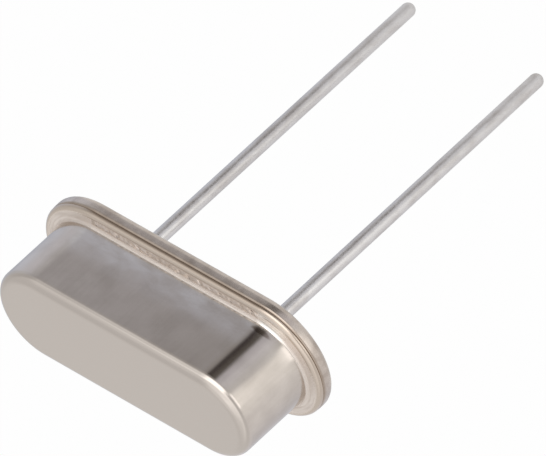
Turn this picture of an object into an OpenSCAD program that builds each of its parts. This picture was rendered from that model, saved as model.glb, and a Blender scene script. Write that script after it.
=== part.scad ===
// Low-profile two-lead quartz crystal unit: a drawn metal can welded to a header
// with two glass-sealed leads, and the crystal on its two spring clips inside.
// +Z points from the seating plane to the can's top, and the leads point to -Z.
// The origin is the middle of the header's underside, between the two leads.

/* [Header] */
// Overall length of the header's flange
header_len = 10.5; // [8.7:0.1:12.6]
// Overall width of the header's flange
header_w = 4.2; // [3.5:0.05:5]
// Thickness of the header's flange
flange_t = 0.47; // [0.38:0.01:0.56]
// Height of the header's raised middle above its flange
boss_h = 0.41; // [0.33:0.01:0.5]
// Gap between the raised middle and the inside of the can
boss_gap = 0.1; // [0.05:0.01:0.2]
// Edge rounding of the header's flange and raised middle
header_edge_r = 0.1; // [0.06:0.01:0.12]
// Edge rounding round the header's underside
seat_edge_r = 0.2; // [0.1:0.01:0.22]

/* [Can] */
// Height of the can's top above the seating plane
can_h = 3.3; // [2.7:0.05:3.9]
// Width of the ledge that the header's flange leaves around the can's wall
ledge_w = 0.5; // [0.4:0.01:0.6]
// Sheet thickness of the can's wall and top
wall_t = 0.2; // [0.15:0.01:0.25]
// Outside rounding between the can's wall and top
crown_r = 0.32; // [0.26:0.01:0.38]
// Thickness of the can's welded flange
lip_t = 0.17; // [0.16:0.01:0.22]
// Edge rounding of the can's flange on its upper side
lip_edge_r = 0.13; // [0.08:0.01:0.13]
// Edge rounding of the can's flange at the weld seam
seam_edge_r = 0.03; // [0.02:0.01:0.03]
// How far the can's flange stays inside the header's flange
lip_inset = 0.01; // [0:0.01:0.03]
// Fillet at the foot of the can's wall
foot_r = 0.1; // [0.05:0.01:0.12]

/* [Leads] */
// Distance between the two leads
lead_pitch = 4.88; // [4.1:0.02:5.9]
// Length of each lead below the seating plane
lead_len = 12.4; // [10:0.1:14.8]
// Diameter of the bare wire
wire_d = 0.43; // [0.36:0.01:0.52]
// Thickness of the tin on the outer part of each lead
tin_t = 0.01; // [0.005:0.001:0.02]
// Bare length between the seating plane and the tin
tin_start = 0.3; // [0.2:0.05:0.5]
// Diameter of the flat head inside the can
head_d = 0.75; // [0.6:0.01:0.9]
// Thickness of the flat head
head_t = 0.15; // [0.1:0.01:0.2]
// Gap between the header and the flat head
head_gap = 0.15; // [0.1:0.01:0.2]

/* [Glass seals] */
// Diameter of each glass seal
seal_d = 1.3; // [1:0.02:1.6]
// How deep each seal sits in the header's underside
seal_recess = 0.06; // [0.03:0.01:0.1]

/* [Quartz blank] */
// Thickness of the quartz blank
blank_t = 0.14; // [0.1:0.01:0.3]
// Gap between the blank's sides and the can
blank_side_gap = 0.65; // [0.5:0.01:0.8]
// Gap between the blank's ends and the can
blank_end_gap = 0.8; // [0.6:0.01:1]
// Length of each electrode's patch in the middle of the blank
electrode_len = 3.2; // [2.4:0.05:4]
// Bare edge beside the electrodes
electrode_edge = 0.3; // [0.2:0.01:0.4]
// Thickness of the electrode film, drawn thicker than the real one
film_t = 0.02; // [0.01:0.005:0.03]
// Width of the tab that runs from an electrode to its bond
tab_w = 0.6; // [0.4:0.01:0.8]

/* [Clips and bonds] */
// Sheet thickness of the spring clips
clip_t = 0.1; // [0.08:0.01:0.12]
// Width of the spring clips
clip_w = 1; // [0.8:0.01:1.2]
// Height of a clip's shelf above its foot
clip_rise = 0.45; // [0.3:0.01:0.55]
// Length of a clip's shelf under the blank
shelf_len = 0.6; // [0.5:0.01:0.7]
// How far a clip's shelf shows past the blank
shelf_over = 0.12; // [0.05:0.01:0.2]
// How far a clip's foot reaches past the middle of its lead
foot_back = 0.35; // [0.3:0.01:0.4]
// Thickness of the conductive bond under the blank
bond_t = 0.06; // [0.04:0.01:0.1]
// How far the bond stays inside the shelf
bond_margin = 0.06; // [0.03:0.01:0.1]

/* [Hidden] */
$fn = 96;

// Every outline is a slot with half-round ends about one spine along X
spine = header_len - header_w;
flange_r = header_w / 2;
can_r = flange_r - ledge_w;
cavity_r = can_r - wall_t;
lip_r = flange_r - lip_inset;
lip_top = flange_t + lip_t;
boss_r = cavity_r - boss_gap;
boss_top = flange_t + boss_h;

tinned_r = wire_d / 2 + tin_t;
head_bottom = boss_top + head_gap;
head_top = head_bottom + head_t;

blank_len = spine + 2 * cavity_r - 2 * blank_end_gap;
blank_w = 2 * cavity_r - 2 * blank_side_gap;
shelf_top = head_top + clip_rise + clip_t;
blank_bottom = shelf_top + bond_t + film_t;
blank_top = blank_bottom + blank_t;
electrode_w = blank_w - 2 * electrode_edge;

lead_x = lead_pitch / 2;
shelf_x = blank_len / 2 - shelf_len;

// Sweeps a profile round the slot outline: its X runs outwards from the spine, its Y upwards
module slot_swept() {
    for (turn = [0, 180])
        rotate([0, 0, turn])
            translate([spine / 2, 0, 0])
                rotate([0, 0, -90])
                    rotate_extrude(angle = 180)
                        children();
    rotate([90, 0, 90])
        translate([0, 0, -spine / 2])
            linear_extrude(spine) {
                children();
                mirror([1, 0]) children();
            }
}

// What rounding takes off a square corner that points outwards and up, with its tip at the origin
module corner_waste(corner_r) {
    translate([-corner_r, -corner_r])
        difference() {
            square(2 * corner_r);
            circle(corner_r);
        }
}

// A slab from the spine out to radius r, with its outer corners rounded
module slab(r, low, high, top_r, bottom_r = 0) {
    difference() {
        translate([0, low]) square([r, high - low]);
        translate([r, high]) corner_waste(top_r);
        if (bottom_r > 0) translate([r, low]) mirror([0, 1]) corner_waste(bottom_r);
    }
}

// The fillet between a wall at radius r and the ledge at its foot
module foot_fillet(r, ledge, corner_r) {
    difference() {
        translate([r, ledge]) square(corner_r);
        translate([r + corner_r, ledge + corner_r]) circle(corner_r);
    }
}

module can() {
    color("#bdb5ae")
        slot_swept()
            difference() {
                union() {
                    slab(can_r, flange_t, can_h, crown_r);
                    slab(lip_r, flange_t, lip_top, lip_edge_r, seam_edge_r);
                    foot_fillet(can_r, lip_top, foot_r);
                }
                slab(cavity_r, flange_t - 1, can_h - wall_t, crown_r - wall_t);
            }
}

module header() {
    color("#b3aca6")
        difference() {
            slot_swept()
                union() {
                    slab(flange_r, 0, flange_t, header_edge_r, seat_edge_r);
                    slab(boss_r, flange_t / 2, boss_top, header_edge_r);
                }
            for (x = [-lead_x, lead_x])
                translate([x, 0, -1]) cylinder(h = boss_top + 2, d = seal_d);
        }
}

module seal(x) {
    color("#3c4a42")
        translate([x, 0, seal_recess])
            difference() {
                cylinder(h = boss_top - seal_recess, d = seal_d);
                translate([0, 0, -1]) cylinder(h = boss_top + 2, d = wire_d);
            }
}

module lead(x) {
    color("#c4c0bb")
        translate([x, 0, 0]) {
            translate([0, 0, tinned_r - lead_len])
                cylinder(h = lead_len - tinned_r - tin_start, r = tinned_r);
            translate([0, 0, tinned_r - lead_len]) sphere(tinned_r);
            translate([0, 0, -tin_start]) cylinder(h = tin_start + head_bottom, d = wire_d);
            translate([0, 0, head_bottom]) cylinder(h = head_t, d = head_d);
        }
}

module blank() {
    color("#dfe7ea")
        translate([-blank_len / 2, -blank_w / 2, blank_bottom])
            cube([blank_len, blank_w, blank_t]);
}

// A film patch in the middle of one face, with its tab out to the +X end
module film_face(low) {
    translate([-electrode_len / 2, -electrode_w / 2, low])
        cube([electrode_len, electrode_w, film_t]);
    translate([0, -tab_w / 2, low]) cube([blank_len / 2, tab_w, film_t]);
}

module electrode_bottom() {
    color("#d8d8d6") film_face(blank_bottom - film_t);
}

// The top film runs over the blank's -X end and back under it, to its own bond
module electrode_top() {
    color("#d8d8d6")
        mirror([1, 0, 0]) {
            film_face(blank_top);
            translate([blank_len / 2, -tab_w / 2, blank_bottom - film_t])
                cube([film_t, tab_w, blank_t + 2 * film_t]);
            translate([shelf_x, -tab_w / 2, blank_bottom - film_t])
                cube([shelf_len, tab_w, film_t]);
        }
}

module clip_solid() {
    translate([lead_x - foot_back, -clip_w / 2, head_top])
        cube([shelf_x + clip_t - lead_x + foot_back, clip_w, clip_t]);
    translate([shelf_x, -clip_w / 2, head_top]) cube([clip_t, clip_w, clip_rise + clip_t]);
    translate([shelf_x, -clip_w / 2, shelf_top - clip_t])
        cube([shelf_len + shelf_over, clip_w, clip_t]);
}

module bond_solid() {
    translate([shelf_x + shelf_len / 2, 0, shelf_top])
        cylinder(h = bond_t, d = shelf_len - 2 * bond_margin);
}

// Clips and bonds are drawn at the +X end, and side -1 puts them at the other end
module at_end(side) {
    mirror([side < 0 ? 1 : 0, 0, 0]) children();
}

module clip(side) {
    color("#a9a59c") at_end(side) clip_solid();
}

module bond(side) {
    color("#8f8f8c") at_end(side) bond_solid();
}

can();
header();
seal(-lead_x);  // seal_left
seal(lead_x);  // seal_right
lead(-lead_x);  // lead_left
lead(lead_x);  // lead_right
blank();
electrode_top();
electrode_bottom();
clip(-1);  // clip_left
clip(1);  // clip_right
bond(-1);  // bond_left
bond(1);  // bond_right
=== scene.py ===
"""Looks of a low-profile quartz crystal unit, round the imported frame: its can, header, seals, leads
and inner parts."""

import math

import bmesh
import bpy
from bpy.props import FloatProperty, FloatVectorProperty, IntProperty, PointerProperty
from mathutils import Matrix, Vector


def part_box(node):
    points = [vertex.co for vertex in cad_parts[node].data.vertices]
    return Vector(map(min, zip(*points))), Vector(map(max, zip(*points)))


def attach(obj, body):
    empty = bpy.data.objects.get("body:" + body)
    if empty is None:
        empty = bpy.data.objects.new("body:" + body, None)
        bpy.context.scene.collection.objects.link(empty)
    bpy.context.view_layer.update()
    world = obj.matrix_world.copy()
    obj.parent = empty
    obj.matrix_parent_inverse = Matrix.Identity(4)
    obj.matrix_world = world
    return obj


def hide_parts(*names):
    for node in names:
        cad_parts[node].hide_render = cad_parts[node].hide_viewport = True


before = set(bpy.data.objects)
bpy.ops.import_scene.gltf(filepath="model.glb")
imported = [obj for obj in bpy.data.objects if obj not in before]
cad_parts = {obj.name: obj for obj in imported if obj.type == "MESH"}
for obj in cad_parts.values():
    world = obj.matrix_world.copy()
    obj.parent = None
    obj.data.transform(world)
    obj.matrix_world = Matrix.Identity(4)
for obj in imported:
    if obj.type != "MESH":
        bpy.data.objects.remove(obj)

bl_info = {
    "name": "Quartz Crystal Unit",
    "version": (1, 0, 0),
    "blender": (4, 5, 0),
    "location": "3D View > Sidebar > Crystal Unit",
    "description": "Builds the can, header, seals, leads and inner parts of a two-lead quartz crystal unit",
    "category": "Add Mesh",
}

# Blender's edit tools round and merge at about a micrometre, so pieces are drawn a thousand times
# larger, with one unit for a millimetre, and are scaled down when they are finished.
PER_METRE = 1000
MERGE_MM = 0.0005
# Finishes read Object coordinates in metres, so a pattern of one millimetre has this scale
PER_MM = 1000


def box_mm(node):
    """Lowest and highest corners of a CAD node, in millimetres."""
    low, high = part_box(node)
    return low * PER_METRE, high * PER_METRE


CAN_LOW, CAN_HIGH = box_mm("can")
HEADER_HIGH = box_mm("header")[1]
SEAL_LOW, SEAL_HIGH = box_mm("seal_right")
LEAD_LOW, LEAD_HIGH = box_mm("lead_right")
# Half the straight part of the slot outline that the header and the can share
HALF_SPINE = HEADER_HIGH.x - HEADER_HIGH.y
LEAD_X = (LEAD_LOW.x + LEAD_HIGH.x) / 2


# ---------------------------------------------------------------------------------------------
# Sizes and colours

def linear(hex_colour):
    """The linear colour of an sRGB hex value."""
    channels = [int(hex_colour[i:i + 2], 16) / 255 for i in (1, 3, 5)]
    return tuple(c / 12.92 if c <= 0.04045 else ((c + 0.055) / 1.055) ** 2.4 for c in channels)


def length(name, description, millimetres):
    return FloatProperty(name=name, description=description, default=millimetres / PER_METRE,
                         min=0.0, unit="LENGTH", precision=5)


def colour(name, description, hex_colour):
    return FloatVectorProperty(name=name, description=description, default=linear(hex_colour),
                               subtype="COLOR", min=0.0, max=1.0)


def angle(name, description, degrees):
    return FloatProperty(name=name, description=description, default=math.radians(degrees), subtype="ANGLE")


class CanSizes(bpy.types.PropertyGroup):
    top: length("Top", "Height of the flat top above the seating plane", CAN_HIGH.z)
    wall: length("Wall radius", "From the spine to the outside of the wall", 1.6)
    flare: length("Flare", "How far the drawn wall leans out at its foot", 0.03)
    flare_from: length("Flare height", "Height at which the wall starts to lean out", 1.1)
    sheet: length("Sheet", "Thickness of the drawn sheet", 0.2)
    crown: length("Crown", "Outside rounding between the wall and the top", 0.32)
    lip: length("Flange radius", "From the spine to the outside of the welded flange", CAN_HIGH.y)
    lip_low: length("Flange underside", "Height of the weld seam above the seating plane", CAN_LOW.z)
    lip_top: length("Flange top", "Height of the flange's upper face above the seating plane", 0.64)
    lip_fall: length("Flange fall", "How far the flange's upper face falls outside the press marks", 0.02)
    lip_edge: length("Flange edge", "Rounding of the flange's upper edge", 0.13)
    seam_edge: length("Seam edge", "Rounding of the flange at the weld seam", 0.02)
    foot: length("Foot", "Fillet between the flange and the wall", 0.1)
    mark_radius: length("Press mark radius", "From the spine to the middle of the press marks", 1.84)
    mark_length: length("Press mark length", "Length of a press mark across the flange", 0.2)
    mark_depth: length("Press mark depth", "Depth of a press mark", 0.03)
    mark_lean: length("Press mark lean", "How far a mark's outer end leans towards -X", 0.07)
    # Painted dark reflection at the foot of the wall: its place and length
    dark_reflection_place: length("Scorch place", "From the start of the -X end to its middle", 0.38)
    dark_reflection_length: length("Scorch length", "Length of the scorch at the foot of the wall", 1.0)
    # Painted highlight on the flange: its place and length
    highlight_place: length("Burnish place", "From the start of the -X end to its middle", 0.55)
    highlight_length: length("Burnish length", "Length of the burnished spot on the flange", 1.5)
    mark_count: IntProperty(name="Press marks", description="Marks along each straight side",
                            default=16, min=1)


class HeaderSizes(bpy.types.PropertyGroup):
    rim: length("Rim radius", "From the spine to the outside of the header's flange", HEADER_HIGH.y)
    rim_top: length("Rim height", "Thickness of the header's flange", CAN_LOW.z)
    boss: length("Boss radius", "From the spine to the outside of the raised middle", 1.3)
    boss_top: length("Boss height", "Height of the raised middle above the seating plane", HEADER_HIGH.z)
    edge: length("Edge", "Rounding of the upper edges", 0.1)
    seat_edge: length("Seat edge", "Rounding round the underside", 0.22)
    hole: length("Seal hole", "Diameter of each glass seal's hole", SEAL_HIGH.x - SEAL_LOW.x)


class SealSizes(bpy.types.PropertyGroup):
    underside: length("Underside", "How deep the glass sits at its rim", SEAL_LOW.z)
    climb: length("Climb", "How far the glass climbs its lead on the underside", 0.04)


class LeadSizes(bpy.types.PropertyGroup):
    reach: length("Length", "Length of each lead below the seating plane", -LEAD_LOW.z)
    wire: length("Wire", "Diameter of the bare wire", 0.43)
    tin: length("Tin", "Thickness of the tin on the outer part", 0.01)
    tin_start: length("Bare length", "Bare length between the seating plane and the tin", 0.3)
    head: length("Head", "Diameter of the flat head inside the can", LEAD_HIGH.x - LEAD_LOW.x)
    head_thick: length("Head thickness", "Thickness of the flat head", 0.15)


class Finishes(bpy.types.PropertyGroup):
    can_nickel: colour("Can nickel", "Satin nickel plate of the can", "#CEC5BD")
    can_dull: colour("Can nickel, dull", "The same plate where it has dulled", "#BBB2AA")
    flange_nickel: colour("Flange nickel", "The same plate outside the press marks", "#CFC1B4")
    # Partly painted light: the coined flange is painted paler than the plate for the light that its frosted
    # upper face catches
    coined_nickel_painted_lit: colour("Coined nickel", "The same plate where the press has coined the flange", "#EADFD6")
    # Painted reflection: the wall's lower part is painted this paler colour where it would mirror the bright
    # flange
    painted_flange_reflection: colour("Wall nickel, low", "The same plate, paled by the weld's heat", "#E8E4E3")
    # Painted dark reflection: the wall's foot is painted this darker colour where the -X end begins
    painted_dark_reflection: colour("Scorch", "The wall's foot where the weld press has scorched it", "#968A81")
    # Painted highlight: the flange is painted near white where the -X end begins
    painted_highlight: colour("Burnish", "The flange where the weld press has burnished it", "#FBF6F0")
    header_nickel: colour("Header nickel", "Nickel plate of the header", "#CCC1B8")
    header_dull: colour("Header nickel, dull", "The same plate where it has stained", "#A79A90")
    weld_brown: colour("Weld brown", "The same plate where the weld's heat has browned it", "#9C8A79")
    tin: colour("Tin", "Hot-dipped tin of the leads", "#D4D1D0")
    tin_dull: colour("Tin, dull", "The same tin where it has oxidised", "#C3BEBB")
    wire: colour("Bare wire", "Nickel iron wire where it leaves the glass", "#B4AEA6")
    glass: colour("Seal glass", "Fused dark seal glass", "#2F3A36")
    quartz: colour("Quartz", "Lapped and etched quartz", "#E4EAEC")
    silver: colour("Silver film", "Evaporated silver", "#E3E2DE")
    strip: colour("Spring strip", "Rolled nickel silver strip", "#B9B2A6")
    resin: colour("Silver resin", "Matt silver-filled resin", "#8E8E8B")


class StageSizes(bpy.types.PropertyGroup):
    azimuth: angle("Azimuth", "Camera's turn from -Y towards +X", -34.919)
    elevation: angle("Elevation", "Camera's height as an angle", 27.785)
    roll: angle("Roll", "Camera's turn about its own axis", -132.553)
    distance: length("Distance", "From the camera to the point that it aims at", 550)
    lens: FloatProperty(name="Lens", description="Focal length in millimetres", default=1270.4)
    aim: FloatVectorProperty(name="Aim", description="Point that the camera aims at",
                             default=(-0.000797, -0.00114, -0.002649), subtype="TRANSLATION", precision=6)
    floor_drop: length("Floor drop", "How far the floor lies below the seating plane", 60)
    floor_size: length("Floor size", "Side of the floor", 9000)
    tent: length("Tent radius", "Radius of the reflection tent round the part", 58)
    lamp_azimuth: angle("Lamp azimuth", "Soft box's turn from -Y towards +X", -6)
    lamp_elevation: angle("Lamp elevation", "Soft box's height as an angle", 32)
    lamp_distance: length("Lamp distance", "From the soft box to the part", 300)
    lamp_size: length("Lamp size", "Diameter of the soft box", 180)
    lamp_power: FloatProperty(name="Lamp power", description="Soft box's power in watts", default=0.06)


PROPERTY_GROUPS = (
    ("crystal_can", CanSizes), ("crystal_header", HeaderSizes), ("crystal_seals", SealSizes),
    ("crystal_leads", LeadSizes), ("crystal_finishes", Finishes), ("crystal_stage", StageSizes),
)


# ---------------------------------------------------------------------------------------------
# Modelling helpers

def mm(metres):
    return metres * PER_METRE


def select_vertices(piece, wanted):
    """Selects the vertices whose places pass the test, and no others."""
    bpy.ops.mesh.select_mode(type="VERT")
    mesh = bmesh.from_edit_mesh(piece.data)
    for vertex in mesh.verts:
        vertex.select = bool(wanted(vertex.co))
    mesh.select_flush_mode()
    bmesh.update_edit_mesh(piece.data)


def start_profile(name, x, radius, height):
    """A new mesh with one selected vertex, in edit mode, at radius towards -Y from the spine."""
    bpy.ops.object.select_all(action="DESELECT")
    bpy.ops.mesh.primitive_plane_add(size=1, enter_editmode=True)
    piece = bpy.context.object
    piece.name = name
    bpy.ops.mesh.select_all(action="SELECT")
    bpy.ops.mesh.merge(type="CENTER")
    bpy.ops.transform.translate(value=(x, -radius, height))
    return piece


def draw_to(outwards, upwards):
    """Extrudes the profile's last vertex."""
    bpy.ops.mesh.extrude_vertices_move(TRANSFORM_OT_translate={"value": (0, -outwards, upwards)})


def draw_profile(name, x, corners):
    """A profile through these (radius, height) corners, in edit mode."""
    piece = start_profile(name, x, *corners[0])
    for last, corner in zip(corners, corners[1:]):
        draw_to(corner[0] - last[0], corner[1] - last[1])
    return piece


def round_corner(piece, radius, height, rounding, segments):
    """Rounds the profile's corner at this place."""
    select_vertices(piece, lambda co: abs(co.y + radius) < MERGE_MM and abs(co.z - height) < MERGE_MM)
    bpy.ops.mesh.bevel(offset=rounding, segments=segments, affect="VERTICES", clamp_overlap=False)


ARC_STEPS = 64


def sweep_slot(half_spine, straight_steps):
    """Sweeps the profile round the slot: a half turn at each end and a straight run along each side."""
    bpy.ops.mesh.select_all(action="SELECT")
    for side in (1, -1):
        bpy.ops.mesh.spin(steps=ARC_STEPS, angle=math.pi, center=(side * half_spine, 0, 0), axis=(0, 0, -1))
        for _ in range(straight_steps):
            bpy.ops.mesh.extrude_region_move(
                TRANSFORM_OT_translate={"value": (-side * 2 * half_spine / straight_steps, 0, 0)})
    close_shell()


def close_shell():
    """Merges what meets and points every face outwards."""
    bpy.ops.mesh.select_all(action="SELECT")
    bpy.ops.mesh.remove_doubles(threshold=MERGE_MM)
    bpy.ops.mesh.normals_make_consistent(inside=False)


def apply_modifier(piece, kind, **settings):
    modifier = piece.modifiers.new(kind, kind)
    for name, value in settings.items():
        setattr(modifier, name, value)
    bpy.context.view_layer.objects.active = piece
    bpy.ops.object.modifier_apply(modifier=modifier.name)


def only(piece):
    """Object mode with this piece alone selected and active."""
    if bpy.context.object and bpy.context.object.mode == "EDIT":
        bpy.ops.object.mode_set(mode="OBJECT")
    bpy.ops.object.select_all(action="DESELECT")
    piece.select_set(True)
    bpy.context.view_layer.objects.active = piece


def finish_piece(piece, nodes, material):
    """Scales a piece down to metres, smooths it and puts it in place of its CAD nodes."""
    only(piece)
    piece.scale = [1 / PER_METRE] * 3
    bpy.ops.object.transform_apply(location=True, rotation=True, scale=True)
    bpy.ops.object.shade_smooth()
    apply_modifier(piece, "WEIGHTED_NORMAL", keep_sharp=True)
    piece.data.materials.clear()
    piece.data.materials.append(material)
    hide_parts(*nodes)
    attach(piece, "root")
    return piece


def moved_copy(piece, name, offset):
    """A copy with a mesh of its own, moved by the offset within that mesh."""
    only(piece)
    bpy.ops.object.duplicate()
    copy = bpy.context.object
    copy.name = name
    bpy.ops.object.mode_set(mode="EDIT")
    bpy.ops.mesh.select_all(action="SELECT")
    bpy.ops.transform.translate(value=offset)
    bpy.ops.object.mode_set(mode="OBJECT")
    return copy


# ---------------------------------------------------------------------------------------------
# Finishes

def node(tree, kind, inputs=None, **settings):
    """Adds a shader node, sets its properties, and sets or links its inputs by name or number."""
    made = tree.nodes.new("ShaderNode" + kind)
    for name, value in settings.items():
        setattr(made, name, value)
    for name, value in (inputs or {}).items():
        if isinstance(value, bpy.types.Node):
            value = next(socket for socket in value.outputs if socket.enabled)
        if isinstance(value, bpy.types.NodeSocket):
            tree.links.new(value, made.inputs[name])
        else:
            made.inputs[name].default_value = value
    return made


def opaque(rgb):
    return (*rgb, 1.0)


def shaded(rgb, share):
    """The colour with this share of its light."""
    return opaque(channel * share for channel in rgb)


def empty_tree(owner):
    """The node tree of a material or a world, with nothing in it."""
    owner.use_nodes = True
    owner.node_tree.nodes.clear()
    return owner.node_tree


def start_material(name):
    """A material, its tree, and its Object coordinates."""
    material = bpy.data.materials.new(name)
    tree = empty_tree(material)
    return material, tree, node(tree, "TexCoord").outputs["Object"]


def close_material(tree, inputs):
    """The Principled shader with these inputs, and the output."""
    shader = node(tree, "BsdfPrincipled", inputs)
    node(tree, "OutputMaterial", {"Surface": shader})


# Mix nodes with colours have their two colours in these inputs
FIRST, SECOND = 6, 7


def outline(tree, east, north):
    """Distance outwards from the spine, and the direction in which the slot outline runs there."""
    along = node(tree, "Math", {0: east}, operation="ABSOLUTE")
    past_end = node(tree, "Math", {0: along, 1: HALF_SPINE / PER_METRE}, operation="SUBTRACT")
    past_end = node(tree, "Math", {0: past_end, 1: 0}, operation="MAXIMUM")
    side = node(tree, "Math", {0: east}, operation="SIGN")
    past_end = node(tree, "Math", {0: past_end, 1: side}, operation="MULTIPLY")
    outwards = node(tree, "CombineXYZ", {0: past_end, 1: north})
    distance = node(tree, "VectorMath", {0: outwards}, operation="LENGTH").outputs["Value"]
    runs = node(tree, "VectorMath", {0: outwards, 1: (0, 0, 1)}, operation="CROSS_PRODUCT")
    return distance, runs


def near_spot(tree, place, spot, stretch, radius, ragged):
    """One near a spot, and nothing beyond this radius, with an edge that a pattern makes ragged."""
    away = node(tree, "VectorMath", {0: place, 1: spot}, operation="SUBTRACT")
    away = node(tree, "VectorMath", {0: away, 1: stretch}, operation="MULTIPLY")
    away = node(tree, "VectorMath", {0: away}, operation="LENGTH").outputs["Value"]
    ragged = node(tree, "MapRange", {
        "Value": ragged, "From Min": 0.3, "From Max": 0.7, "To Min": 0.7, "To Max": 1.4})
    away = node(tree, "Math", {0: away, 1: ragged}, operation="MULTIPLY")
    return node(tree, "MapRange", {
        "Value": away, "From Min": radius, "From Max": radius / 2}, interpolation_type="SMOOTHSTEP")


# In millimetres: how far the press's edge fades inwards and outwards, and the same for the ends of what
# is on the straight sides, and how far from the seam the weld's heat has browned the plate at all and
# in full
PRESS_FADE = (0.04, 0.06)
SIDE_FADE = (0.1, 0.5)
BROWN_REACH = 0.12
BROWN_CORE = 0.03


def can_plate(sizes, finishes):
    """Satin nickel plate on drawn steel. The plate gives clear but slightly soft reflections. Faint draw
    marks run up the wall and faint clouds dull it. Near the flange the wall is painted paler, broken by
    veins, as a painted reflection of the flange, with a darker painted shade line left at its root. The
    weld press has coined the flange, which is much less smooth and scratched along its outline, and it is
    painted paler for the light that its frosted face catches. Where the -X end begins, a painted dark
    reflection sits at the foot of the wall and a painted highlight on the flange, and the press marks
    carry painted glints."""
    material, tree, place = start_material("satin nickel plate on drawn steel")
    east, north, height = node(tree, "SeparateXYZ", {0: place}).outputs
    clouds = node(tree, "TexNoise", {
        "Vector": place, "Scale": PER_MM / 0.9, "Detail": 3, "Roughness": 0.5})
    # Real draw marks are some 0.01 mm wide; these are coarser, so that they can be seen
    drawn = node(tree, "Mapping", {"Vector": place, "Scale": (1, 1, 0.1)})
    marks = node(tree, "TexNoise", {
        "Vector": drawn, "Scale": PER_MM / 0.12, "Detail": 4, "Roughness": 0.65})
    grain = node(tree, "TexNoise", {"Vector": place, "Scale": PER_MM / 0.06, "Detail": 3})

    # Scratches follow the outline: they depend on the distance from the spine, and hardly on the rest
    distance, runs = outline(tree, east, north)
    slow = node(tree, "VectorMath", {0: place, 1: (0.06, 0.06, 0)}, operation="MULTIPLY")
    round_it = node(tree, "CombineXYZ", {2: distance})
    round_it = node(tree, "VectorMath", {0: round_it, 1: slow}, operation="ADD")
    scratches = node(tree, "TexNoise", {
        "Vector": round_it, "Scale": PER_MM / 0.05, "Detail": 3, "Roughness": 0.6})
    # The press touched the flange from the foot out to just past the marks
    press_edge = sizes.mark_radius + sizes.mark_length / 2
    pressed = node(tree, "MapRange", {
        "Value": distance, "From Min": press_edge + PRESS_FADE[1] / PER_METRE,
        "From Max": press_edge - PRESS_FADE[0] / PER_METRE}, interpolation_type="SMOOTHSTEP")

    above_foot = node(tree, "MapRange", {
        "Value": height, "From Min": sizes.lip_top + 0.4 * sizes.foot,
        "From Max": sizes.lip_top + sizes.foot})
    below_crown = node(tree, "MapRange", {
        "Value": height, "From Min": sizes.top - sizes.crown, "From Max": sizes.top - 0.3 * sizes.crown,
        "To Min": 1, "To Max": 0})
    wall = node(tree, "Math", {0: above_foot, 1: below_crown}, operation="MULTIPLY")
    on_flange = node(tree, "Math", {0: 1, 1: above_foot}, operation="SUBTRACT")

    # Veins lie along the wall, thicker near the flange
    across = node(tree, "Mapping", {"Vector": place, "Scale": (0.45, 0.45, 1)})
    veins = node(tree, "TexNoise", {
        "Vector": across, "Scale": PER_MM / 0.4, "Detail": 3, "Roughness": 0.55, "Distortion": 0.25})
    veined = node(tree, "MapRange", {
        "Value": veins, "From Min": 0.35, "From Max": 0.65, "To Min": 0.4, "To Max": 1})
    clouded = node(tree, "MapRange", {
        "Value": clouds, "From Min": 0.4, "From Max": 0.7, "To Min": 0, "To Max": 0.6})
    streaked = node(tree, "MapRange", {
        "Value": marks, "From Min": 0.35, "From Max": 0.65, "To Min": 0, "To Max": 0.2})
    dulled = node(tree, "Math", {0: clouded, 1: streaked}, operation="ADD")
    dulled = node(tree, "Math", {0: dulled, 1: wall}, operation="MULTIPLY")
    plate = node(tree, "Mix", {
        "Factor": dulled, FIRST: opaque(finishes.can_nickel), SECOND: opaque(finishes.can_dull)},
        data_type="RGBA")
    # Partly painted light: the coined face is painted paler than the plate for the light that its frosted
    # upper face catches
    flange = node(tree, "Mix", {
        "Factor": pressed, FIRST: opaque(finishes.flange_nickel), SECOND: opaque(finishes.coined_nickel_painted_lit)},
        data_type="RGBA")
    plate = node(tree, "Mix", {"Factor": above_foot, FIRST: flange, SECOND: plate},
                 data_type="RGBA")
    # Painted reflection: from the flare down to the foot the wall is painted paler where it would mirror the
    # bright flange, broken up by the veins and kept to the straight sides
    near_flange = node(tree, "MapRange", {
        "Value": height, "From Min": 1.8 * sizes.flare_from, "From Max": sizes.lip_top + 3 * sizes.foot},
        interpolation_type="SMOOTHSTEP")
    # Painted shade: the paler paint stops short of the root, which leaves a darker line in the fillet
    # between the flange and the wall
    off_root = node(tree, "MapRange", {
        "Value": height, "From Min": sizes.lip_top + 0.8 * sizes.foot,
        "From Max": sizes.lip_top + 2 * sizes.foot}, interpolation_type="SMOOTHSTEP")
    east_or_west = node(tree, "Math", {0: east}, operation="ABSOLUTE")
    on_side = node(tree, "MapRange", {
        "Value": east_or_west, "From Min": (HALF_SPINE + SIDE_FADE[1]) / PER_METRE,
        "From Max": (HALF_SPINE - SIDE_FADE[0]) / PER_METRE}, interpolation_type="SMOOTHSTEP")
    for share in (off_root, on_side, veined):
        near_flange = node(tree, "Math", {0: near_flange, 1: share}, operation="MULTIPLY")
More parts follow.
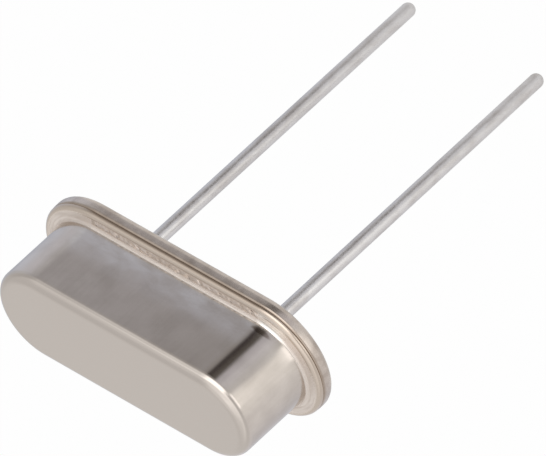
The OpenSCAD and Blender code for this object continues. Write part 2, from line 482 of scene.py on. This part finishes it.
    # Where the -X end begins, the foot of the wall carries a painted dark reflection and the flange a
    # painted highlight, which is also smoother
    end_start = -HALF_SPINE / PER_METRE
    dark_reflection_spot = (end_start - sizes.dark_reflection_place, -sizes.wall, sizes.lip_top + 2.5 * sizes.foot)
    dark_painted = near_spot(tree, place, dark_reflection_spot, (1, 1, 4), sizes.dark_reflection_length / 2, veins)
    highlight_spot = (end_start - sizes.highlight_place, -sizes.mark_radius, sizes.lip_top)
    light_painted = near_spot(tree, place, highlight_spot, (1, 1, 1), sizes.highlight_length / 2, scratches)
    on_face = node(tree, "MapRange", {
        "Value": distance, "From Min": sizes.lip - 0.5 * sizes.lip_edge,
        "From Max": sizes.lip - sizes.lip_edge})
    on_face = node(tree, "Math", {0: on_face, 1: on_flange}, operation="MULTIPLY")
    light_painted = node(tree, "Math", {0: light_painted, 1: on_face}, operation="MULTIPLY")
    near_weld = node(tree, "MapRange", {
        "Value": height, "From Min": sizes.lip_low + BROWN_REACH / PER_METRE,
        "From Max": sizes.lip_low + BROWN_CORE / PER_METRE})
    browned = node(tree, "MapRange", {"Value": on_side, "To Min": 0.3, "To Max": 1})
    near_weld = node(tree, "Math", {0: near_weld, 1: browned}, operation="MULTIPLY")
    # The wall's painted reflection of the flange, the painted dark reflection at its foot and the painted
    # highlight on the flange go on here, and then the real browning of the weld
    tinted = plate
    for share, tint in ((near_flange, finishes.painted_flange_reflection), (dark_painted, finishes.painted_dark_reflection),
                        (light_painted, finishes.painted_highlight), (near_weld, finishes.weld_brown)):
        tinted = node(tree, "Mix", {
            "Factor": share, FIRST: tinted, SECOND: opaque(tint)}, data_type="RGBA")

    sheen = node(tree, "MapRange", {
        "Value": clouds, "From Min": 0.3, "From Max": 0.7, "To Min": 0.1, "To Max": 0.15})
    coined = node(tree, "MapRange", {
        "Value": scratches, "From Min": 0.35, "From Max": 0.65, "To Min": 0.3, "To Max": 0.62})
    coined = node(tree, "Mix", {"Factor": pressed, 2: 0.2, 3: coined})
    coined = node(tree, "Mix", {"Factor": light_painted, 2: coined, 3: 0.22})
    roughness = node(tree, "Mix", {"Factor": above_foot, 2: coined, 3: sheen})

    # The press marks are small stippled dimples in a row along each straight side
    beside = node(tree, "Math", {0: east_or_west, 1: HALF_SPINE / PER_METRE},
                  operation="LESS_THAN")
    off_marks = node(tree, "Math", {0: distance, 1: sizes.mark_radius}, operation="SUBTRACT")
    off_marks = node(tree, "Math", {0: off_marks}, operation="ABSOLUTE")
    on_marks = node(tree, "MapRange", {
        "Value": off_marks, "From Min": 0.7 * sizes.mark_length, "From Max": 0.4 * sizes.mark_length})
    on_marks = node(tree, "Math", {0: on_marks, 1: beside}, operation="MULTIPLY")
    stipple = node(tree, "TexVoronoi", {
        "Vector": place, "Scale": PER_MM / 0.16, "Smoothness": 0.5, "Randomness": 0.9}, feature="SMOOTH_F1")
    roughness = node(tree, "Mix", {"Factor": on_marks, 2: roughness, 3: 0.12})
    # Painted glints and shade: the colour is multiplied lighter at the dimples' centres and darker at their
    # rims
    painted_glints = node(tree, "MapRange", {
        "Value": stipple, "From Min": 0.45, "From Max": 0.1, "To Min": 0.88, "To Max": 1.2})
    painted_glints = node(tree, "Mix", {"Factor": on_marks, 2: 1.0, 3: painted_glints})
    tinted = node(tree, "Mix", {"Factor": 1.0, FIRST: tinted, SECOND: painted_glints},
                  data_type="RGBA", blend_type="MULTIPLY")

    unmarked = node(tree, "Math", {0: 1, 1: on_marks}, operation="SUBTRACT")
    brushed = node(tree, "Math", {0: on_flange, 1: pressed}, operation="MULTIPLY")
    brushed = node(tree, "Math", {0: brushed, 1: unmarked}, operation="MULTIPLY")
    off_highlight = node(tree, "Math", {0: 1, 1: light_painted}, operation="SUBTRACT")
    brushed = node(tree, "Math", {0: brushed, 1: off_highlight}, operation="MULTIPLY")
    brushed = node(tree, "Math", {0: brushed, 1: 0.85}, operation="MULTIPLY")
    waves = node(tree, "TexNoise", {"Vector": place, "Scale": PER_MM / 2.2, "Detail": 1})
    relief = node(tree, "Bump", {"Height": waves, "Distance": 0.009 / PER_METRE})
    relief = node(tree, "Bump", {
        "Height": stipple, "Distance": 0.025 / PER_METRE, "Strength": on_marks, "Normal": relief})
    relief = node(tree, "Bump", {
        "Height": marks, "Distance": 0.0005 / PER_METRE, "Strength": wall, "Normal": relief})
    relief = node(tree, "Bump", {
        "Height": scratches, "Distance": 0.0012 / PER_METRE, "Strength": on_flange, "Normal": relief})
    relief = node(tree, "Bump", {
        "Height": grain, "Distance": 0.0002 / PER_METRE, "Normal": relief})
    # The marks run along the outline, so the flange spreads its reflections across it
    close_material(tree, {"Base Color": tinted, "Metallic": 1, "Roughness": roughness, "Normal": relief,
                          "Anisotropic": brushed, "Anisotropic Rotation": 0.25, "Tangent": runs})
    return material


def header_plate(sizes, finishes):
    """Nickel plate on a pressed header: softer and a little browner than the can, with streaks that run
    round the rim and small dull stains."""
    material, tree, place = start_material("nickel plate on a pressed header")
    stains = node(tree, "TexNoise", {
        "Vector": place, "Scale": PER_MM / 0.5, "Detail": 4, "Roughness": 0.65})
    level = node(tree, "Mapping", {"Vector": place, "Scale": (0.06, 0.06, 1)})
    grain = node(tree, "TexNoise", {
        "Vector": level, "Scale": PER_MM / 0.08, "Detail": 4, "Roughness": 0.6})
    stained = node(tree, "MapRange", {
        "Value": stains, "From Min": 0.42, "From Max": 0.68, "To Min": 0, "To Max": 0.7})
    plate = node(tree, "Mix", {
        "Factor": stained, FIRST: opaque(finishes.header_nickel), SECOND: opaque(finishes.header_dull)},
        data_type="RGBA")
    height = node(tree, "SeparateXYZ", {0: place}).outputs[2]
    near_weld = node(tree, "MapRange", {
        "Value": height, "From Min": sizes.rim_top - BROWN_REACH / PER_METRE, "From Max": sizes.rim_top})
    plate = node(tree, "Mix", {
        "Factor": near_weld, FIRST: plate, SECOND: opaque(finishes.weld_brown)}, data_type="RGBA")
    sheen = node(tree, "MapRange", {
        "Value": grain, "From Min": 0.3, "From Max": 0.7, "To Min": 0.2, "To Max": 0.3})
    sheen = node(tree, "Mix", {"Factor": near_weld, 2: sheen, 3: 0.2})
    relief = node(tree, "Bump", {"Height": grain, "Distance": 0.0006 / PER_METRE})
    close_material(tree, {"Base Color": plate, "Metallic": 1, "Roughness": sheen, "Normal": relief})
    return material


def dipped_tin(finishes):
    """Hot-dipped tin on wire: soft broad reflections, a fine frosty grain and duller runs along the wire."""
    material, tree, place = start_material("hot-dipped tin")
    along = node(tree, "Mapping", {"Vector": place, "Scale": (1, 1, 0.35)})
    runs = node(tree, "TexNoise", {
        "Vector": along, "Scale": PER_MM / 0.3, "Detail": 4, "Roughness": 0.65})
    # The real frost is finer; this one is coarse enough to be seen
    frost = node(tree, "TexNoise", {
        "Vector": place, "Scale": PER_MM / 0.06, "Detail": 4, "Roughness": 0.7})
    dulled = node(tree, "MapRange", {"Value": runs, "From Min": 0.42, "From Max": 0.66})
    tin = node(tree, "Mix", {
        "Factor": dulled, FIRST: opaque(finishes.tin), SECOND: opaque(finishes.tin_dull)}, data_type="RGBA")
    sheen = node(tree, "MapRange", {
        "Value": frost, "From Min": 0.3, "From Max": 0.7, "To Min": 0.27, "To Max": 0.42})
    relief = node(tree, "Bump", {"Height": runs, "Distance": 0.0025 / PER_METRE})
    relief = node(tree, "Bump", {
        "Height": frost, "Distance": 0.0008 / PER_METRE, "Normal": relief})
    close_material(tree, {"Base Color": tin, "Metallic": 1, "Roughness": sheen, "Normal": relief})
    return material


def bare_wire(finishes):
    """Drawn nickel iron wire: fine marks along the wire, duller than the tin."""
    material, tree, place = start_material("drawn nickel iron wire")
    along = node(tree, "Mapping", {"Vector": place, "Scale": (1, 1, 0.04)})
    marks = node(tree, "TexNoise", {"Vector": along, "Scale": PER_MM / 0.03, "Detail": 3})
    sheen = node(tree, "MapRange", {
        "Value": marks, "From Min": 0.3, "From Max": 0.7, "To Min": 0.3, "To Max": 0.45})
    relief = node(tree, "Bump", {"Height": marks, "Distance": 0.001 / PER_METRE})
    close_material(tree, {"Base Color": opaque(finishes.wire), "Metallic": 1, "Roughness": sheen,
                          "Normal": relief})
    return material


def fused_glass(finishes):
    """Fused seal glass: dark and glossy, with faint clouds and a few tiny bubbles under the skin."""
    material, tree, place = start_material("fused seal glass")
    clouds = node(tree, "TexNoise", {"Vector": place, "Scale": PER_MM / 0.35, "Detail": 3})
    cells = node(tree, "TexVoronoi", {"Vector": place, "Scale": PER_MM / 0.12})
    bubbles = node(tree, "MapRange", {
        "Value": cells, "From Min": 0.1, "From Max": 0.16, "To Min": 0.35, "To Max": 0})
    glass = node(tree, "Mix", {
        "Factor": clouds, FIRST: shaded(finishes.glass, 0.6), SECOND: opaque(finishes.glass)},
        data_type="RGBA")
    speckled = node(tree, "Mix", {
        "Factor": bubbles, FIRST: glass, SECOND: opaque(finishes.tin_dull)}, data_type="RGBA")
    relief = node(tree, "Bump", {"Height": clouds, "Distance": 0.003 / PER_METRE})
    close_material(tree, {"Base Color": speckled, "Roughness": 0.08, "IOR": 1.52, "Normal": relief})
    return material


def patterned(tree, pattern, rgb, darkest, sheen, depth):
    """Shader inputs for a face whose colour, sheen and relief follow one pattern, with the depth in mm."""
    shade = node(tree, "Mix", {"Factor": pattern, FIRST: shaded(rgb, darkest), SECOND: opaque(rgb)},
                 data_type="RGBA")
    sheen = node(tree, "MapRange", {
        "Value": pattern, "From Min": 0.3, "From Max": 0.7, "To Min": sheen[0], "To Max": sheen[1]})
    relief = node(tree, "Bump", {"Height": pattern, "Distance": depth / PER_METRE})
    return {"Base Color": shade, "Roughness": sheen, "Normal": relief}


def etched_quartz(finishes):
    """Lapped and etched quartz: a pale frosted plate whose fine pits scatter the light."""
    material, tree, place = start_material("etched quartz")
    pits = node(tree, "TexNoise", {
        "Vector": place, "Scale": PER_MM / 0.04, "Detail": 3, "Roughness": 0.7})
    frosted = patterned(tree, pits, finishes.quartz, 0.85, (0.25, 0.45), 0.001)
    close_material(tree, {**frosted, "IOR": 1.54, "Transmission Weight": 0.6})
    return material


def silver_film(finishes):
    """Evaporated silver: a bright mirror film that shows the etched pits under it as a fine haze."""
    material, tree, place = start_material("evaporated silver")
    pits = node(tree, "TexNoise", {
        "Vector": place, "Scale": PER_MM / 0.04, "Detail": 3, "Roughness": 0.7})
    silver = patterned(tree, pits, finishes.silver, 0.9, (0.12, 0.22), 0.0008)
    close_material(tree, {**silver, "Metallic": 1})
    return material


def spring_strip(finishes):
    """Rolled nickel silver strip: a slightly yellow white metal with straight rolling marks."""
    material, tree, place = start_material("rolled nickel silver strip")
    rolled = node(tree, "Mapping", {"Vector": place, "Scale": (0.04, 1, 1)})
    marks = node(tree, "TexNoise", {"Vector": rolled, "Scale": PER_MM / 0.03, "Detail": 3})
    strip = patterned(tree, marks, finishes.strip, 0.85, (0.2, 0.34), 0.001)
    close_material(tree, {**strip, "Metallic": 1})
    return material


def silver_resin(finishes):
    """Silver-filled epoxy: a matt grey paste with glinting flakes and a lumpy skin."""
    material, tree, place = start_material("silver-filled epoxy")
    cells = node(tree, "TexVoronoi", {"Vector": place, "Scale": PER_MM / 0.025})
    flakes = node(tree, "SeparateColor", {"Color": cells.outputs["Color"]})
    lumps = node(tree, "TexNoise", {"Vector": place, "Scale": PER_MM / 0.12, "Detail": 3})
    paste = node(tree, "Mix", {
        "Factor": flakes, FIRST: shaded(finishes.resin, 0.8), SECOND: opaque(finishes.resin)},
        data_type="RGBA")
    sheen = node(tree, "MapRange", {"Value": flakes, "To Min": 0.4, "To Max": 0.65})
    relief = node(tree, "Bump", {"Height": lumps, "Distance": 0.01 / PER_METRE})
    close_material(tree, {"Base Color": paste, "Metallic": 0.5, "Roughness": sheen, "Normal": relief})
    return material


# ---------------------------------------------------------------------------------------------
# Pieces

class CRYSTAL_OT_can(bpy.types.Operator):
    """Draw the can: a closed shell of sheet with a rounded crown, a welded flange and its press marks"""
    bl_idname = "crystal.can"
    bl_label = "Can"

    # Straight steps from one press mark to the next
    STEPS_PER_MARK = 6

    def execute(self, context):
        sizes = context.scene.crystal_can
        top, wall, lip = mm(sizes.top), mm(sizes.wall), mm(sizes.lip)
        low, lip_top, sheet = mm(sizes.lip_low), mm(sizes.lip_top), mm(sizes.sheet)
        crown, inside, flare_from = mm(sizes.crown), wall - sheet, mm(sizes.flare_from)
        mark, half = mm(sizes.mark_radius), mm(sizes.mark_length) / 2
        foot, fall = wall + mm(sizes.flare), mm(sizes.lip_fall)
        can = draw_profile("can_shell", HALF_SPINE, [
            (0, top), (wall, top), (wall, flare_from), (foot, lip_top),
            (mark - half, lip_top), (mark - half / 2, lip_top), (mark, lip_top),
            (mark + half / 2, lip_top), (mark + half, lip_top),
            (lip, lip_top - fall), (lip, low), (inside, low), (inside, top - sheet), (0, top - sheet),
        ])
        round_corner(can, wall, top, crown, 14)
        round_corner(can, wall, flare_from, (flare_from - lip_top) / 2, 8)
        round_corner(can, foot, lip_top, mm(sizes.foot), 8)
        round_corner(can, lip, lip_top - fall, mm(sizes.lip_edge), 8)
        round_corner(can, lip, low, mm(sizes.seam_edge), 5)
        round_corner(can, inside, top - sheet, crown - sheet, 8)
        sweep_slot(HALF_SPINE, sizes.mark_count * self.STEPS_PER_MARK)
        self.press_marks(can, sizes)
        plate = can_plate(sizes, context.scene.crystal_finishes)
        finish_piece(can, ["can"], plate)
        return {"FINISHED"}

    def press_marks(self, can, sizes):
        """Presses short grooves across the flange along both straight sides."""
        pitch = 2 * HALF_SPINE / sizes.mark_count
        step = pitch / self.STEPS_PER_MARK
        mark, half, lip_top = mm(sizes.mark_radius), mm(sizes.mark_length) / 2, mm(sizes.lip_top)
        for outwards, depth in ((-0.5, 0.7), (0, 1), (0.5, 0.7)):
            radius = mark + outwards * half
            select_vertices(can, lambda co: (
                abs(co.z - lip_top) < MERGE_MM and abs(abs(co.y) - radius) < MERGE_MM
                and abs(co.x) < HALF_SPINE and (co.x + HALF_SPINE) / step % self.STEPS_PER_MARK < 3.5
                and (co.x + HALF_SPINE) / step % self.STEPS_PER_MARK > 2.5))
            bpy.ops.transform.translate(value=(
                -outwards * mm(sizes.mark_lean), 0, -depth * mm(sizes.mark_depth)))


class CRYSTAL_OT_header(bpy.types.Operator):
    """Draw the header: a flange with a raised middle and two holes for the seals"""
    bl_idname = "crystal.header"
    bl_label = "Header"

    def execute(self, context):
        sizes = context.scene.crystal_header
        rim, rim_top = mm(sizes.rim), mm(sizes.rim_top)
        boss, boss_top, edge = mm(sizes.boss), mm(sizes.boss_top), mm(sizes.edge)
        header = draw_profile("header_base", HALF_SPINE, [
            (0, boss_top), (boss, boss_top), (boss, rim_top), (rim, rim_top), (rim, 0), (0, 0),
        ])
        round_corner(header, boss, boss_top, edge, 5)
        round_corner(header, rim, rim_top, edge, 6)
        round_corner(header, rim, 0, mm(sizes.seat_edge), 6)
        sweep_slot(HALF_SPINE, 60)
        only(header)
        for x in (-LEAD_X, LEAD_X):
            self.cut_hole(header, x, mm(sizes.hole) / 2, boss_top)
        plate = header_plate(sizes, context.scene.crystal_finishes)
        finish_piece(header, ["header"], plate)
        return {"FINISHED"}

    def cut_hole(self, header, x, radius, height):
        """Cuts one through hole with a cutter that is then thrown away."""
        bpy.ops.object.select_all(action="DESELECT")
        bpy.ops.mesh.primitive_cylinder_add(vertices=96, radius=radius, depth=3 * height, location=(x, 0, 0))
        cutter = bpy.context.object
        apply_modifier(header, "BOOLEAN", operation="DIFFERENCE", solver="EXACT", object=cutter)
        bpy.data.objects.remove(cutter)


class CRYSTAL_OT_seals(bpy.types.Operator):
    """Draw the two glass seals, whose glass climbs a little up the lead and the hole"""
    bl_idname = "crystal.seals"
    bl_label = "Glass seals"

    def execute(self, context):
        sizes = context.scene.crystal_seals
        finishes = context.scene.crystal_finishes
        hole = mm(context.scene.crystal_header.hole) / 2
        wire = mm(context.scene.crystal_leads.wire) / 2
        top, underside = SEAL_HIGH.z, mm(sizes.underside)
        middle, climb = (hole + wire) / 2, mm(sizes.climb)
        seal = draw_profile("seal_right_glass", LEAD_X, [
            (wire, top), (hole, top), (hole, underside - climb), (middle, underside + climb),
            (wire, underside - climb), (wire, top),
        ])
        round_corner(seal, middle, underside + climb, (hole - wire) * 0.45, 12)
        bpy.ops.mesh.select_all(action="SELECT")
        bpy.ops.mesh.spin(steps=72, angle=math.tau, center=(LEAD_X, 0, 0), axis=(0, 0, 1))
        close_shell()
        glass = fused_glass(finishes)
        only(seal)
        other = moved_copy(seal, "seal_left_glass", (-2 * LEAD_X, 0, 0))
        finish_piece(seal, ["seal_right"], glass)
        finish_piece(other, ["seal_left"], glass)
        return {"FINISHED"}


# Rounding of the flat heads in millimetres, and the share of a tip's radius and of the tin's step that
# is rounded, as rounding the whole of either would leave no face
HEAD_EDGE = 0.04
TIP_ROUNDED = 0.98
STEP_ROUNDED = 0.9


class CRYSTAL_OT_leads(bpy.types.Operator):
    """Draw the two leads: a flat head, bare wire through the glass, and a tinned run with a round tip"""
    bl_idname = "crystal.leads"
    bl_label = "Leads"

    def execute(self, context):
        sizes = context.scene.crystal_leads
        finishes = context.scene.crystal_finishes
        wire, head = mm(sizes.wire) / 2, mm(sizes.head) / 2
        tinned = wire + mm(sizes.tin)
        head_top, tin_start, reach = LEAD_HIGH.z, -mm(sizes.tin_start), mm(sizes.reach)
        head_low = head_top - mm(sizes.head_thick)
        lead = draw_profile("lead_right_wire", LEAD_X, [
            (0, head_top), (head, head_top), (head, head_low), (wire, head_low), (wire, tin_start),
            (tinned, tin_start), (tinned, -reach), (0, -reach),
        ])
        round_corner(lead, tinned, -reach, tinned * TIP_ROUNDED, 12)
        round_corner(lead, tinned, tin_start, mm(sizes.tin) * STEP_ROUNDED, 4)
        for height in (head_top, head_low):
            round_corner(lead, head, height, HEAD_EDGE, 4)
        bpy.ops.mesh.select_all(action="SELECT")
        bpy.ops.mesh.spin(steps=48, angle=math.tau, center=(LEAD_X, 0, 0), axis=(0, 0, 1))
        close_shell()
        only(lead)
        tin, bare = dipped_tin(finishes), bare_wire(finishes)
        other = moved_copy(lead, "lead_left_wire", (-2 * LEAD_X, 0, 0))
        for piece, cad in ((lead, "lead_right"), (other, "lead_left")):
            finish_piece(piece, [cad], tin)
            piece.data.materials.append(bare)
            for face in piece.data.polygons:
                face.material_index = int(mm(face.center.z) > tin_start)
        return {"FINISHED"}


class CRYSTAL_OT_inside(bpy.types.Operator):
    """Finish the parts inside the can: the quartz blank, its electrodes, the spring clips and the bonds"""
    bl_idname = "crystal.inside"
    bl_label = "Parts inside"

    def execute(self, context):
        finishes = context.scene.crystal_finishes
        makers = {
            etched_quartz: ["blank"],
            silver_film: ["electrode_top", "electrode_bottom"],
            spring_strip: ["clip_left", "clip_right"],
            silver_resin: ["bond_left", "bond_right"],
        }
        for maker, names in makers.items():
            material = maker(finishes)
            for name in names:
                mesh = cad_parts[name].data
                mesh.materials.clear()
                mesh.materials.append(material)
        return {"FINISHED"}


# ---------------------------------------------------------------------------------------------
# Stage

def direction(azimuth, elevation):
    """Unit vector at an azimuth from -Y towards +X and an elevation above the horizon."""
    return Vector((math.sin(azimuth) * math.cos(elevation), -math.cos(azimuth) * math.cos(elevation),
                   math.sin(elevation)))


def paper(*stops):
    """Stops of a grey ramp, each an azimuth in degrees and a brightness."""
    return tuple((azimuth, (light, light, light)) for azimuth, light in stops)


# What the part sees round it, by azimuth in degrees from -Y towards +X. Low down there is a white
# sheet to the left, the dark gap with the camera in the middle, and a cooler grey room to the right.
GROUND_BAND = paper((-180, 0.82), (180, 0.82))
LOW_BAND = (
    (-180, (0.72, 0.72, 0.76)), (-105, (0.96, 0.96, 0.97)), (-80, (1.08, 1.08, 1.07)),
    (-56, (1.10, 1.10, 1.08)), (-40, (0.78, 0.79, 0.80)), (-22, (0.79, 0.80, 0.85)),
    (-8, (0.62, 0.62, 0.67)), (3, (0.12, 0.11, 0.10)), (16, (0.06, 0.05, 0.05)),
    (26, (0.36, 0.35, 0.35)), (35, (0.47, 0.47, 0.50)), (45, (0.60, 0.61, 0.64)),
    (65, (0.71, 0.73, 0.80)), (95, (0.70, 0.74, 0.84)), (135, (0.46, 0.48, 0.54)),
    (180, (0.72, 0.72, 0.76)),
)
# Just under the horizon a lit sheet stands to the left
SHEET_BAND = (
    (-180, (0.80, 0.80, 0.84)), (-105, (0.92, 0.92, 0.93)), (-78, (1.05, 1.05, 1.04)),
    (-70, (1.75, 1.75, 1.74)), (-46, (1.75, 1.75, 1.74)), (-38, (0.74, 0.75, 0.74)),
    (-22, (0.70, 0.70, 0.73)), (-8, (0.60, 0.60, 0.64)), (3, (0.30, 0.29, 0.28)),
    (16, (0.30, 0.29, 0.28)), (26, (0.50, 0.49, 0.48)), (35, (0.48, 0.48, 0.50)),
    (45, (0.55, 0.56, 0.59)), (65, (0.66, 0.68, 0.72)), (120, (0.62, 0.65, 0.72)),
    (180, (0.80, 0.80, 0.84)),
)
# Above the horizon stands a window of bright light a little left of the front
WINDOW_BAND = paper((-180, 0.76), (-110, 0.78), (-62, 0.70), (-46, 0.66), (-36, 1.15), (-28, 2.1), (2, 2.1),
                    (12, 1.8), (22, 1.2), (36, 0.64), (50, 0.58), (70, 0.60), (110, 0.66),
                    (138, 0.76), (152, 0.80), (180, 0.76))
UPPER_BAND = paper((-180, 0.77), (-105, 1.02), (-80, 1.2), (-50, 1.35), (-38, 1.4), (-27, 1.9), (16, 1.9),
                   (26, 1.35), (37, 0.86), (60, 0.72), (100, 0.70), (145, 0.81), (180, 0.77))
HIGH_BAND = paper((-180, 0.77), (-120, 0.88), (-85, 1.1), (-60, 1.28), (-40, 1.2), (-15, 1.1), (10, 1.05),
                  (35, 0.86), (60, 0.72), (100, 0.70), (145, 0.81), (180, 0.77))
ROOF_BAND = paper((-180, 0.93), (180, 0.93))
# The bands from the bottom up, each with the elevations in degrees over which it takes over
TENT_BANDS = (
    (None, GROUND_BAND), ((-42, -31), LOW_BAND), ((-22, -15), SHEET_BAND), ((-9, 9), WINDOW_BAND),
    ((18, 29), UPPER_BAND), ((31, 43), HIGH_BAND), ((66, 86), ROOF_BAND),
)


# Share of the floor that shows as plain white; the rest is board, which keeps the object's shadow
FLOOR_WHITE = 0.96


class CRYSTAL_OT_stage(bpy.types.Operator):
    """Set up the floor, the reflection tent, the soft light and the camera"""
    bl_idname = "crystal.stage"
    bl_label = "Stage"

    def execute(self, context):
        sizes = context.scene.crystal_stage
        self.lay_floor(sizes)
        self.raise_tent(sizes)
        self.light(context.scene, sizes)
        self.place_camera(context.scene, sizes)
        return {"FINISHED"}

    def lay_floor(self, sizes):
        """A pale sweep far below, white as a background and plain as a surface."""
        bpy.ops.object.select_all(action="DESELECT")
        bpy.ops.mesh.primitive_plane_add(size=sizes.floor_size, location=(0, 0, -sizes.floor_drop))
        floor = bpy.context.object
        floor.name = "studio_floor"
        bpy.ops.object.transform_apply(location=True)
        material = bpy.data.materials.new("pale studio board")
        tree = empty_tree(material)
        rays = node(tree, "LightPath")
        seen = node(tree, "Math", {0: rays.outputs["Is Camera Ray"],
                                             1: rays.outputs["Is Glossy Ray"]}, operation="MAXIMUM")
        seen = node(tree, "Math", {0: seen, 1: rays.outputs["Is Transmission Ray"]},
                    operation="MAXIMUM")
        board = node(tree, "BsdfDiffuse", {"Color": opaque(linear("#EDEDED"))})
        white = node(tree, "Emission", {"Color": (1, 1, 1, 1), "Strength": 1})
        share = node(tree, "Math", {0: seen, 1: FLOOR_WHITE}, operation="MULTIPLY")
        surface = node(tree, "MixShader", {0: share, 1: board, 2: white})
        node(tree, "OutputMaterial", {"Surface": surface})
        floor.data.materials.append(material)

    def raise_tent(self, sizes):
        """A tent of graded paper round the part, which only reflections see."""
        bpy.ops.object.select_all(action="DESELECT")
        bpy.ops.mesh.primitive_uv_sphere_add(segments=96, ring_count=48, radius=sizes.tent)
        tent = bpy.context.object
        tent.name = "reflection_tent"
        bpy.ops.object.shade_smooth()
        material, tree, place = start_material("graded tent paper")
        east, north, up = node(tree, "SeparateXYZ", {0: place}).outputs
        front = node(tree, "Math", {0: north, 1: -1}, operation="MULTIPLY")
        azimuth = node(tree, "Math", {0: east, 1: front}, operation="ARCTAN2")
        turn = node(tree, "MapRange", {"Value": azimuth, "From Min": -math.pi, "From Max": math.pi})
        seen = None
        for rise, stops in TENT_BANDS:
            band = self.band(tree, turn, stops)
            if rise:
                start, end = (sizes.tent * math.sin(math.radians(angle)) for angle in rise)
                risen = node(tree, "MapRange", {"Value": up, "From Min": start, "From Max": end},
                             interpolation_type="SMOOTHSTEP")
                band = node(tree, "Mix", {"Factor": risen, FIRST: seen, SECOND: band},
                            data_type="RGBA")
            seen = band
        shine = node(tree, "Emission", {"Color": seen, "Strength": 1})
        node(tree, "OutputMaterial", {"Surface": shine})
        tent.data.materials.append(material)
        for kind in ("camera", "diffuse", "shadow", "transmission", "volume_scatter"):
            setattr(tent, "visible_" + kind, False)

    def band(self, tree, turn, stops):
        """A colour ramp once round the tent."""
        made = node(tree, "ValToRGB", {0: turn})
        ramp = made.color_ramp
        ramp.interpolation = "EASE"
        while len(ramp.elements) < len(stops):
            ramp.elements.new(0.5)
        for element, (degrees, shade) in zip(ramp.elements, stops):
            element.position = (degrees + 180) / 360
            element.color = opaque(shade)
        return made

    def light(self, scene, sizes):
        """A soft even room, and a broad soft box above the front."""
        world = bpy.data.worlds.new("soft studio")
        scene.world = world
        tree = empty_tree(world)
        rays = node(tree, "LightPath")
        towards = node(tree, "TexCoord").outputs["Generated"]
        height = node(tree, "SeparateXYZ", {0: towards}).outputs[2]
        room = node(tree, "Mix", {
            "Factor": height, FIRST: (0.84, 0.84, 0.84, 1), SECOND: (0.92, 0.91, 0.90, 1)}, data_type="RGBA")
        seen = node(tree, "Mix", {
            "Factor": rays.outputs["Is Camera Ray"], FIRST: room, SECOND: (1, 1, 1, 1)}, data_type="RGBA")
        sky = node(tree, "Background", {"Color": seen, "Strength": 1})
        node(tree, "OutputWorld", {"Surface": sky})
        bpy.ops.object.select_all(action="DESELECT")
        away = direction(sizes.lamp_azimuth, sizes.lamp_elevation) * sizes.lamp_distance
        bpy.ops.object.light_add(type="AREA", location=away)
        soft_box = bpy.context.object
        soft_box.name = "soft_box"
        soft_box.rotation_euler = away.to_track_quat("Z", "Y").to_euler()
        soft_box.data.shape = "DISK"
        soft_box.data.size = sizes.lamp_size
        soft_box.data.energy = sizes.lamp_power

    def place_camera(self, scene, sizes):
        """A long lens from the front and above, turned about its own axis."""
        bpy.ops.object.select_all(action="DESELECT")
        back = direction(sizes.azimuth, sizes.elevation)
        bpy.ops.object.camera_add(location=Vector(sizes.aim) + back * sizes.distance)
        camera = bpy.context.object
        camera.name = "camera"
        upright = back.to_track_quat("Z", "Y").to_matrix()
        turned = upright @ Matrix.Rotation(sizes.roll, 3, "Z")
        camera.rotation_euler = turned.to_euler()
        camera.data.lens = sizes.lens
        camera.data.clip_start = 0.01
        camera.data.clip_end = 50
        scene.camera = camera
        scene.view_settings.view_transform = "Standard"


OPERATORS = (CRYSTAL_OT_can, CRYSTAL_OT_header, CRYSTAL_OT_seals, CRYSTAL_OT_leads, CRYSTAL_OT_inside,
             CRYSTAL_OT_stage)


class CRYSTAL_PT_panel(bpy.types.Panel):
    bl_label = "Crystal Unit"
    bl_idname = "CRYSTAL_PT_panel"
    bl_space_type = "VIEW_3D"
    bl_region_type = "UI"
    bl_category = "Crystal Unit"

    def draw(self, context):
        for name, group in PROPERTY_GROUPS:
            box = self.layout.box()
            for field in group.__annotations__:
                box.prop(getattr(context.scene, name), field)
        for operator in OPERATORS:
            self.layout.operator(operator.bl_idname)


def register():
    for name, group in PROPERTY_GROUPS:
        bpy.utils.register_class(group)
        setattr(bpy.types.Scene, name, PointerProperty(type=group))
    for cls in (*OPERATORS, CRYSTAL_PT_panel):
        bpy.utils.register_class(cls)


def unregister():
    for cls in (CRYSTAL_PT_panel, *reversed(OPERATORS)):
        bpy.utils.unregister_class(cls)
    for name, group in reversed(PROPERTY_GROUPS):
        delattr(bpy.types.Scene, name)
        bpy.utils.unregister_class(group)


def main():
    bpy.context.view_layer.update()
    register()
    bpy.ops.crystal.can()
    bpy.ops.crystal.header()
    bpy.ops.crystal.seals()
    bpy.ops.crystal.leads()
    bpy.ops.crystal.inside()
    bpy.ops.crystal.stage()


if __name__ == "__main__":
    main()
